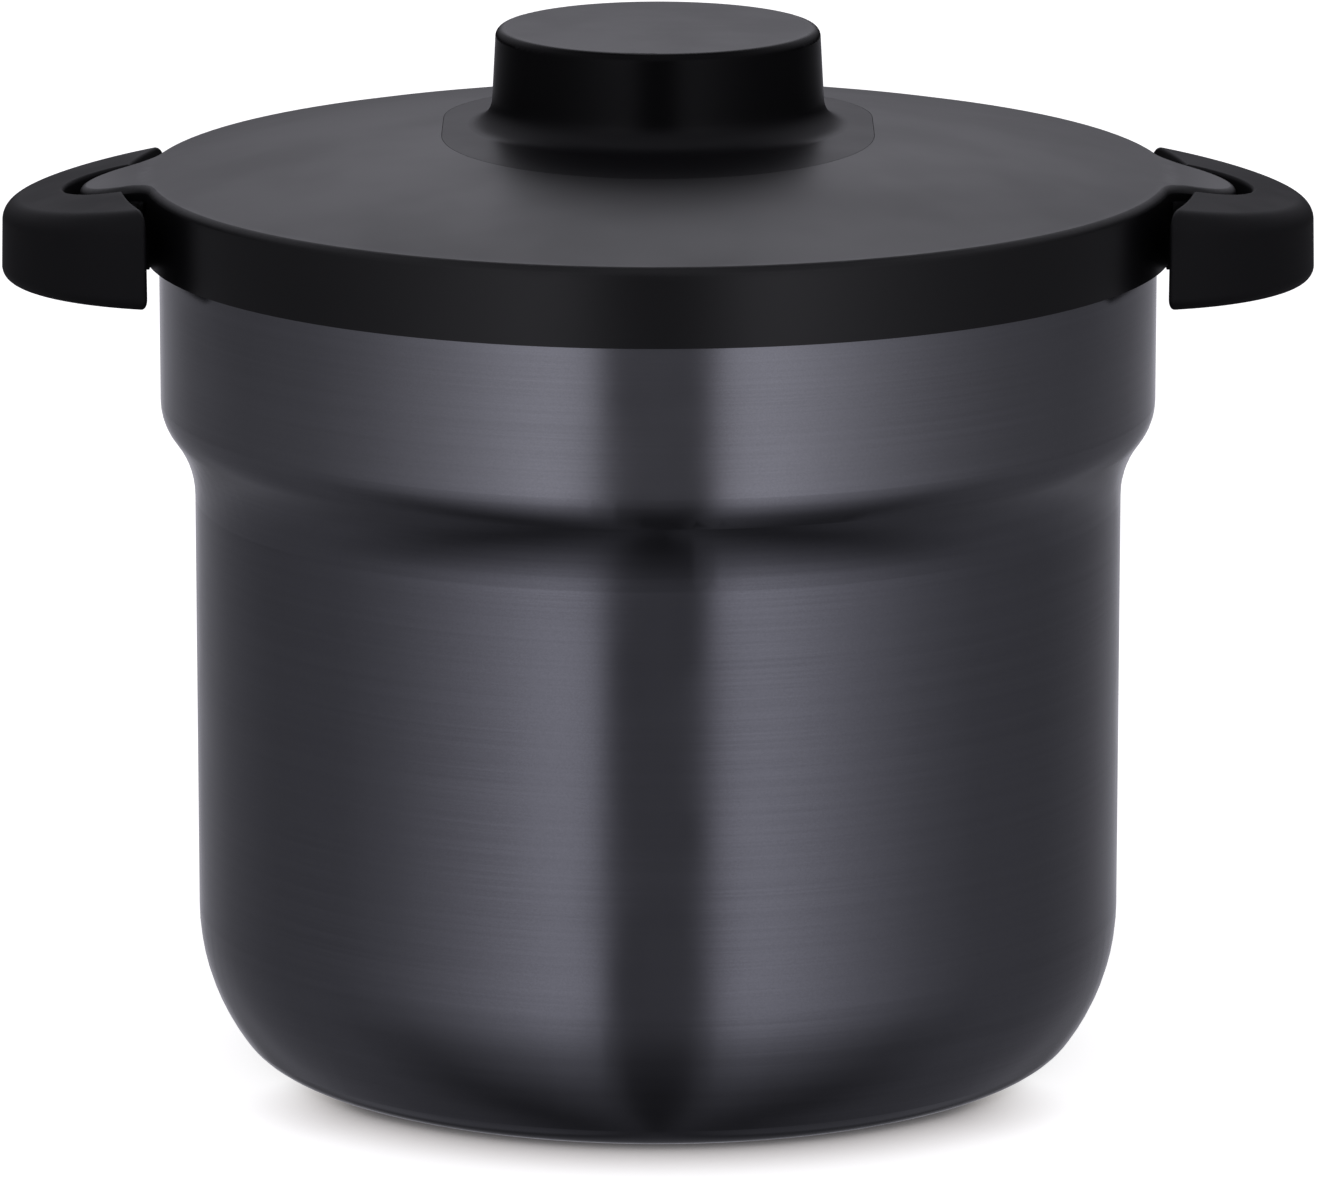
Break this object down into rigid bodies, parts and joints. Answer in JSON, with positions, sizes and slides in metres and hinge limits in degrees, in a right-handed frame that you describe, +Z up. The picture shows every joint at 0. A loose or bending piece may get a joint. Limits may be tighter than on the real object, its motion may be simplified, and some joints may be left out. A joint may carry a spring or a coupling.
{
  "type": "thermal cooker",
  "caption": "Vacuum-walled thermal cooker with side handles, an inner pot with a glass lid, and an insulated lid with a round knob.",
  "frame": {"origin": "centre of the foot, on the plane that the cooker stands on", "axes": "+Z up, +X through the two handles, front faces -Y"},
  "size_m": [0.3112, 0.2438, 0.2482],
  "materials": {
    "charcoal_coat": "satin metallic",
    "steel": "brushed",
    "polished_steel": "polished",
    "screw_steel": "plain",
    "solder": "cast bead",
    "foil": "bright foil",
    "base_aluminium": "plain",
    "base_disc": "fine matt",
    "handle_resin": "satin",
    "lid_resin": "satin",
    "knob_resin": "semi-gloss",
    "liner_resin": "fine matt",
    "foam": "rigid foam",
    "silicone": "translucent grey",
    "lid_glass": "clear tempered"
  },
  "bodies": {
    "container": {"outer_shell": "charcoal_coat", "outer_band": "charcoal_coat", "inner_shell": "steel", "base_pan": "steel", "vacuum_seal": "solder", "seal_cover": "base_disc", "getter": "steel", "radiation_foil": "foil", "handle_right": "handle_resin", "handle_left": "handle_resin", "handle_bracket_right": "steel", "handle_bracket_left": "steel", "handle_screws_right": "screw_steel", "handle_screws_left": "screw_steel"},
    "pot": {"pot_body": "steel", "pot_base_core": "base_aluminium", "pot_base_cap": "steel", "pot_ear_right": "polished_steel", "pot_ear_left": "polished_steel", "pot_ear_plate_right": "steel", "pot_ear_plate_left": "steel"},
    "pot_lid": {"pot_lid_glass": "lid_glass", "pot_lid_band": "steel", "pot_lid_seal": "silicone", "pot_lid_vent": "polished_steel", "pot_lid_knob": "handle_resin", "pot_lid_knob_base": "polished_steel", "pot_lid_washer": "silicone", "pot_lid_screw": "screw_steel"},
    "outer_lid": {"lid_upper_cover": "lid_resin", "lid_knob": "knob_resin", "lid_lower_cover": "liner_resin", "lid_insulation": "foam", "lid_cover_screws": "screw_steel", "lid_knob_screws": "screw_steel"}
  },
  "joints": [
    {"name": "pot_lift", "type": "slide", "parent": "container", "child": "pot", "axis": [0, 0, 1], "range_m": [0, 0.205]},
    {"name": "pot_lid_lift", "type": "slide", "parent": "pot", "child": "pot_lid", "axis": [0, 0, 1], "range_m": [0, 0.06]},
    {"name": "outer_lid_lift", "type": "slide", "parent": "pot_lid", "child": "outer_lid", "axis": [0, 0, 1], "range_m": [0, 0.07]}
  ]
}
